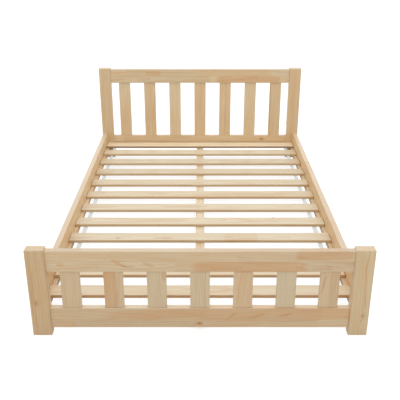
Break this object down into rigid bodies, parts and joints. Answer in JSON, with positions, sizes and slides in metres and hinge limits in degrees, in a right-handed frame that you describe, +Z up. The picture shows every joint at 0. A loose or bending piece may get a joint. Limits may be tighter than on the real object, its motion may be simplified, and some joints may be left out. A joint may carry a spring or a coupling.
{
  "type": "bed frame",
  "caption": "Low pine bed frame with a slatted headboard, a lower slatted footboard, side rails and a base of cross slats on ledgers and a centre beam",
  "frame": {"origin": "on the floor, in the middle of the bed's footprint", "axes": "+X across the bed to the right as seen from the foot end, +Y from the foot to the head, +Z up"},
  "size_m": [1.275, 2.034, 0.59],
  "materials": {
    "post_pine": "planed and clear-lacquered, satin",
    "rail_pine": "planed and clear-lacquered, satin",
    "board_slat_pine": "planed and clear-lacquered, satin",
    "bed_slat_pine": "planed, satin",
    "support_pine": "sawn and planed, matt",
    "beech_dowel": "turned, unfinished",
    "zinc_steel": "zinc-plated, satin"
  },
  "bodies": {
    "root": {"headboard_post_left": "post_pine", "headboard_post_right": "post_pine", "headboard_top_rail": "rail_pine", "headboard_bottom_rail": "rail_pine", "headboard_slat_1": "board_slat_pine", "headboard_slat_2": "board_slat_pine", "headboard_slat_3": "board_slat_pine", "headboard_slat_4": "board_slat_pine", "headboard_slat_5": "board_slat_pine", "headboard_slat_6": "board_slat_pine", "headboard_slat_7": "board_slat_pine", "footboard_post_left": "post_pine", "footboard_post_right": "post_pine", "footboard_top_rail": "rail_pine", "footboard_bottom_rail": "rail_pine", "footboard_slat_1": "board_slat_pine", "footboard_slat_2": "board_slat_pine", "footboard_slat_3": "board_slat_pine", "footboard_slat_4": "board_slat_pine", "footboard_slat_5": "board_slat_pine", "footboard_slat_6": "board_slat_pine", "footboard_slat_7": "board_slat_pine", "side_rail_left": "rail_pine", "side_rail_right": "rail_pine", "slat_ledger_left": "support_pine", "slat_ledger_right": "support_pine", "bed_slat_01": "bed_slat_pine", "bed_slat_02": "bed_slat_pine", "bed_slat_03": "bed_slat_pine", "bed_slat_04": "bed_slat_pine", "bed_slat_05": "bed_slat_pine", "bed_slat_06": "bed_slat_pine", "bed_slat_07": "bed_slat_pine", "bed_slat_08": "bed_slat_pine", "bed_slat_09": "bed_slat_pine", "bed_slat_10": "bed_slat_pine", "bed_slat_11": "bed_slat_pine", "bed_slat_12": "bed_slat_pine", "centre_beam": "support_pine", "beam_leg": "support_pine", "leg_dowel": "beech_dowel", "slat_pins": "beech_dowel", "rail_hook_plate_foot_left": "zinc_steel", "post_keeper_plate_foot_left": "zinc_steel", "rail_hook_plate_foot_right": "zinc_steel", "post_keeper_plate_foot_right": "zinc_steel", "rail_hook_plate_head_left": "zinc_steel", "post_keeper_plate_head_left": "zinc_steel", "rail_hook_plate_head_right": "zinc_steel", "post_keeper_plate_head_right": "zinc_steel", "joint_plate_screws": "zinc_steel", "ledger_screws": "zinc_steel"}
  },
  "joints": []
}
